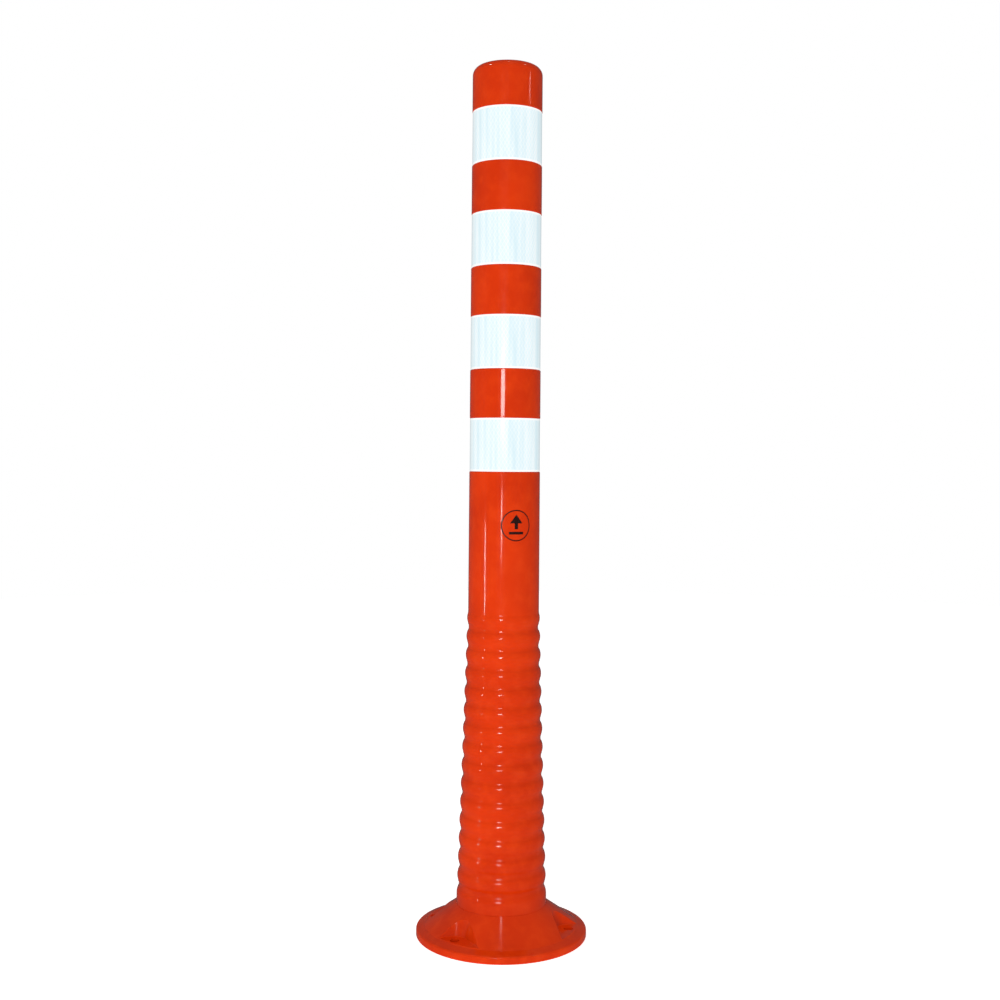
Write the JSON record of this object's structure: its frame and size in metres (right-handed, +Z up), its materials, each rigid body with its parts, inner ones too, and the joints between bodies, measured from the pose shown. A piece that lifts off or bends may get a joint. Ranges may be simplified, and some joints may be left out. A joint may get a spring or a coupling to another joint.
{
  "type": "delineator post",
  "caption": "Flexible traffic delineator post: orange tube with white reflective bands, a ribbed bending base and a round bolt-down foot.",
  "frame": {"origin": "centre of the foot's underside, on the road surface", "axes": "+Z up along the post; -Y is the front, where the round stamp is"},
  "size_m": [0.198, 0.198, 1],
  "materials": {
    "orange_polyurethane": "glossy cast polyurethane, signal orange-red",
    "retroreflective_tape": "white prismatic retroreflective tape"
  },
  "bodies": {
    "foot": {"foot_flange": "orange_polyurethane"},
    "groove_01": {"groove_01": "orange_polyurethane"},
    "rib_02": {"rib_02": "orange_polyurethane"},
    "groove_02": {"groove_02": "orange_polyurethane"},
    "rib_03": {"rib_03": "orange_polyurethane"},
    "groove_03": {"groove_03": "orange_polyurethane"},
    "rib_04": {"rib_04": "orange_polyurethane"},
    "groove_04": {"groove_04": "orange_polyurethane"},
    "rib_05": {"rib_05": "orange_polyurethane"},
    "groove_05": {"groove_05": "orange_polyurethane"},
    "rib_06": {"rib_06": "orange_polyurethane"},
    "groove_06": {"groove_06": "orange_polyurethane"},
    "rib_07": {"rib_07": "orange_polyurethane"},
    "groove_07": {"groove_07": "orange_polyurethane"},
    "rib_08": {"rib_08": "orange_polyurethane"},
    "groove_08": {"groove_08": "orange_polyurethane"},
    "rib_09": {"rib_09": "orange_polyurethane"},
    "groove_09": {"groove_09": "orange_polyurethane"},
    "rib_10": {"rib_10": "orange_polyurethane"},
    "groove_10": {"groove_10": "orange_polyurethane"},
    "rib_11": {"rib_11": "orange_polyurethane"},
    "groove_11": {"groove_11": "orange_polyurethane"},
    "rib_12": {"rib_12": "orange_polyurethane"},
    "groove_12": {"groove_12": "orange_polyurethane"},
    "rib_13": {"rib_13": "orange_polyurethane"},
    "groove_13": {"groove_13": "orange_polyurethane"},
    "rib_14": {"rib_14": "orange_polyurethane"},
    "groove_14": {"groove_14": "orange_polyurethane"},
    "rib_15": {"rib_15": "orange_polyurethane"},
    "groove_15": {"groove_15": "orange_polyurethane"},
    "upper_tube": {"upper_tube": "orange_polyurethane", "reflective_band_1": "retroreflective_tape", "reflective_band_2": "retroreflective_tape", "reflective_band_3": "retroreflective_tape", "reflective_band_4": "retroreflective_tape"}
  },
  "joints": [
    {"name": "bend_fore_01", "type": "hinge", "parent": "foot", "child": "groove_01", "pos_m": [0, 0, 0.0592], "axis": [0.96, 0.28, 0], "range_deg": [-6, 6], "stiffness_Nm_per_rad": 900, "deforming": ["groove_01"]},
    {"name": "bend_side_01", "type": "hinge", "parent": "groove_01", "child": "rib_02", "pos_m": [0, 0, 0.0592], "axis": [-0.28, 0.96, 0], "range_deg": [-3.3, 3.3], "stiffness_Nm_per_rad": 900, "deforming": ["groove_01"]},
    {"name": "bend_fore_02", "type": "hinge", "parent": "rib_02", "child": "groove_02", "pos_m": [0, 0, 0.0806], "axis": [0.96, 0.28, 0], "range_deg": [-6, 6], "stiffness_Nm_per_rad": 900, "deforming": ["groove_02"]},
    {"name": "bend_side_02", "type": "hinge", "parent": "groove_02", "child": "rib_03", "pos_m": [0, 0, 0.0806], "axis": [-0.28, 0.96, 0], "range_deg": [-3.3, 3.3], "stiffness_Nm_per_rad": 900, "deforming": ["groove_02"]},
    {"name": "bend_fore_03", "type": "hinge", "parent": "rib_03", "child": "groove_03", "pos_m": [0, 0, 0.102], "axis": [0.96, 0.28, 0], "range_deg": [-6, 6], "stiffness_Nm_per_rad": 900, "deforming": ["groove_03"]},
    {"name": "bend_side_03", "type": "hinge", "parent": "groove_03", "child": "rib_04", "pos_m": [0, 0, 0.102], "axis": [-0.28, 0.96, 0], "range_deg": [-3.3, 3.3], "stiffness_Nm_per_rad": 900, "deforming": ["groove_03"]},
    {"name": "bend_fore_04", "type": "hinge", "parent": "rib_04", "child": "groove_04", "pos_m": [0, 0, 0.1234], "axis": [0.96, 0.28, 0], "range_deg": [-6, 6], "stiffness_Nm_per_rad": 900, "deforming": ["groove_04"]},
    {"name": "bend_side_04", "type": "hinge", "parent": "groove_04", "child": "rib_05", "pos_m": [0, 0, 0.1234], "axis": [-0.28, 0.96, 0], "range_deg": [-3.3, 3.3], "stiffness_Nm_per_rad": 900, "deforming": ["groove_04"]},
    {"name": "bend_fore_05", "type": "hinge", "parent": "rib_05", "child": "groove_05", "pos_m": [0, 0, 0.1448], "axis": [0.96, 0.28, 0], "range_deg": [-6, 6], "stiffness_Nm_per_rad": 900, "deforming": ["groove_05"]},
    {"name": "bend_side_05", "type": "hinge", "parent": "groove_05", "child": "rib_06", "pos_m": [0, 0, 0.1448], "axis": [-0.28, 0.96, 0], "range_deg": [-3.3, 3.3], "stiffness_Nm_per_rad": 900, "deforming": ["groove_05"]},
    {"name": "bend_fore_06", "type": "hinge", "parent": "rib_06", "child": "groove_06", "pos_m": [0, 0, 0.1662], "axis": [0.96, 0.28, 0], "range_deg": [-6, 6], "stiffness_Nm_per_rad": 900, "deforming": ["groove_06"]},
    {"name": "bend_side_06", "type": "hinge", "parent": "groove_06", "child": "rib_07", "pos_m": [0, 0, 0.1662], "axis": [-0.28, 0.96, 0], "range_deg": [-3.3, 3.3], "stiffness_Nm_per_rad": 900, "deforming": ["groove_06"]},
    {"name": "bend_fore_07", "type": "hinge", "parent": "rib_07", "child": "groove_07", "pos_m": [0, 0, 0.1876], "axis": [0.96, 0.28, 0], "range_deg": [-6, 6], "stiffness_Nm_per_rad": 900, "deforming": ["groove_07"]},
    {"name": "bend_side_07", "type": "hinge", "parent": "groove_07", "child": "rib_08", "pos_m": [0, 0, 0.1876], "axis": [-0.28, 0.96, 0], "range_deg": [-3.3, 3.3], "stiffness_Nm_per_rad": 900, "deforming": ["groove_07"]},
    {"name": "bend_fore_08", "type": "hinge", "parent": "rib_08", "child": "groove_08", "pos_m": [0, 0, 0.209], "axis": [0.96, 0.28, 0], "range_deg": [-6, 6], "stiffness_Nm_per_rad": 900, "deforming": ["groove_08"]},
    {"name": "bend_side_08", "type": "hinge", "parent": "groove_08", "child": "rib_09", "pos_m": [0, 0, 0.209], "axis": [-0.28, 0.96, 0], "range_deg": [-3.3, 3.3], "stiffness_Nm_per_rad": 900, "deforming": ["groove_08"]},
    {"name": "bend_fore_09", "type": "hinge", "parent": "rib_09", "child": "groove_09", "pos_m": [0, 0, 0.2304], "axis": [0.96, 0.28, 0], "range_deg": [-6, 6], "stiffness_Nm_per_rad": 900, "deforming": ["groove_09"]},
    {"name": "bend_side_09", "type": "hinge", "parent": "groove_09", "child": "rib_10", "pos_m": [0, 0, 0.2304], "axis": [-0.28, 0.96, 0], "range_deg": [-3.3, 3.3], "stiffness_Nm_per_rad": 900, "deforming": ["groove_09"]},
    {"name": "bend_fore_10", "type": "hinge", "parent": "rib_10", "child": "groove_10", "pos_m": [0, 0, 0.2518], "axis": [0.96, 0.28, 0], "range_deg": [-6, 6], "stiffness_Nm_per_rad": 900, "deforming": ["groove_10"]},
    {"name": "bend_side_10", "type": "hinge", "parent": "groove_10", "child": "rib_11", "pos_m": [0, 0, 0.2518], "axis": [-0.28, 0.96, 0], "range_deg": [-3.3, 3.3], "stiffness_Nm_per_rad": 900, "deforming": ["groove_10"]},
    {"name": "bend_fore_11", "type": "hinge", "parent": "rib_11", "child": "groove_11", "pos_m": [0, 0, 0.2732], "axis": [0.96, 0.28, 0], "range_deg": [-6, 6], "stiffness_Nm_per_rad": 900, "deforming": ["groove_11"]},
    {"name": "bend_side_11", "type": "hinge", "parent": "groove_11", "child": "rib_12", "pos_m": [0, 0, 0.2732], "axis": [-0.28, 0.96, 0], "range_deg": [-3.3, 3.3], "stiffness_Nm_per_rad": 900, "deforming": ["groove_11"]},
    {"name": "bend_fore_12", "type": "hinge", "parent": "rib_12", "child": "groove_12", "pos_m": [0, 0, 0.2946], "axis": [0.96, 0.28, 0], "range_deg": [-6, 6], "stiffness_Nm_per_rad": 900, "deforming": ["groove_12"]},
    {"name": "bend_side_12", "type": "hinge", "parent": "groove_12", "child": "rib_13", "pos_m": [0, 0, 0.2946], "axis": [-0.28, 0.96, 0], "range_deg": [-3.3, 3.3], "stiffness_Nm_per_rad": 900, "deforming": ["groove_12"]},
    {"name": "bend_fore_13", "type": "hinge", "parent": "rib_13", "child": "groove_13", "pos_m": [0, 0, 0.316], "axis": [0.96, 0.28, 0], "range_deg": [-6, 6], "stiffness_Nm_per_rad": 900, "deforming": ["groove_13"]},
    {"name": "bend_side_13", "type": "hinge", "parent": "groove_13", "child": "rib_14", "pos_m": [0, 0, 0.316], "axis": [-0.28, 0.96, 0], "range_deg": [-3.3, 3.3], "stiffness_Nm_per_rad": 900, "deforming": ["groove_13"]},
    {"name": "bend_fore_14", "type": "hinge", "parent": "rib_14", "child": "groove_14", "pos_m": [0, 0, 0.3374], "axis": [0.96, 0.28, 0], "range_deg": [-6, 6], "stiffness_Nm_per_rad": 900, "deforming": ["groove_14"]},
    {"name": "bend_side_14", "type": "hinge", "parent": "groove_14", "child": "rib_15", "pos_m": [0, 0, 0.3374], "axis": [-0.28, 0.96, 0], "range_deg": [-3.3, 3.3], "stiffness_Nm_per_rad": 900, "deforming": ["groove_14"]},
    {"name": "bend_fore_15", "type": "hinge", "parent": "rib_15", "child": "groove_15", "pos_m": [0, 0, 0.3588], "axis": [0.96, 0.28, 0], "range_deg": [-6, 6], "stiffness_Nm_per_rad": 900, "deforming": ["groove_15"]},
    {"name": "bend_side_15", "type": "hinge", "parent": "groove_15", "child": "upper_tube", "pos_m": [0, 0, 0.3588], "axis": [-0.28, 0.96, 0], "range_deg": [-3.3, 3.3], "stiffness_Nm_per_rad": 900, "deforming": ["groove_15"]}
  ],
  "couplings": [
    {"joint": "bend_fore_02", "follows": "bend_fore_01", "ratio": 1},
    {"joint": "bend_side_02", "follows": "bend_side_01", "ratio": 1},
    {"joint": "bend_fore_03", "follows": "bend_fore_01", "ratio": 1},
    {"joint": "bend_side_03", "follows": "bend_side_01", "ratio": 1},
    {"joint": "bend_fore_04", "follows": "bend_fore_01", "ratio": 1},
    {"joint": "bend_side_04", "follows": "bend_side_01", "ratio": 1},
    {"joint": "bend_fore_05", "follows": "bend_fore_01", "ratio": 1},
    {"joint": "bend_side_05", "follows": "bend_side_01", "ratio": 1},
    {"joint": "bend_fore_06", "follows": "bend_fore_01", "ratio": 1},
    {"joint": "bend_side_06", "follows": "bend_side_01", "ratio": 1},
    {"joint": "bend_fore_07", "follows": "bend_fore_01", "ratio": 1},
    {"joint": "bend_side_07", "follows": "bend_side_01", "ratio": 1},
    {"joint": "bend_fore_08", "follows": "bend_fore_01", "ratio": 1},
    {"joint": "bend_side_08", "follows": "bend_side_01", "ratio": 1},
    {"joint": "bend_fore_09", "follows": "bend_fore_01", "ratio": 1},
    {"joint": "bend_side_09", "follows": "bend_side_01", "ratio": 1},
    {"joint": "bend_fore_10", "follows": "bend_fore_01", "ratio": 1},
    {"joint": "bend_side_10", "follows": "bend_side_01", "ratio": 1},
    {"joint": "bend_fore_11", "follows": "bend_fore_01", "ratio": 1},
    {"joint": "bend_side_11", "follows": "bend_side_01", "ratio": 1},
    {"joint": "bend_fore_12", "follows": "bend_fore_01", "ratio": 1},
    {"joint": "bend_side_12", "follows": "bend_side_01", "ratio": 1},
    {"joint": "bend_fore_13", "follows": "bend_fore_01", "ratio": 1},
    {"joint": "bend_side_13", "follows": "bend_side_01", "ratio": 1},
    {"joint": "bend_fore_14", "follows": "bend_fore_01", "ratio": 1},
    {"joint": "bend_side_14", "follows": "bend_side_01", "ratio": 1},
    {"joint": "bend_fore_15", "follows": "bend_fore_01", "ratio": 1},
    {"joint": "bend_side_15", "follows": "bend_side_01", "ratio": 1}
  ]
}
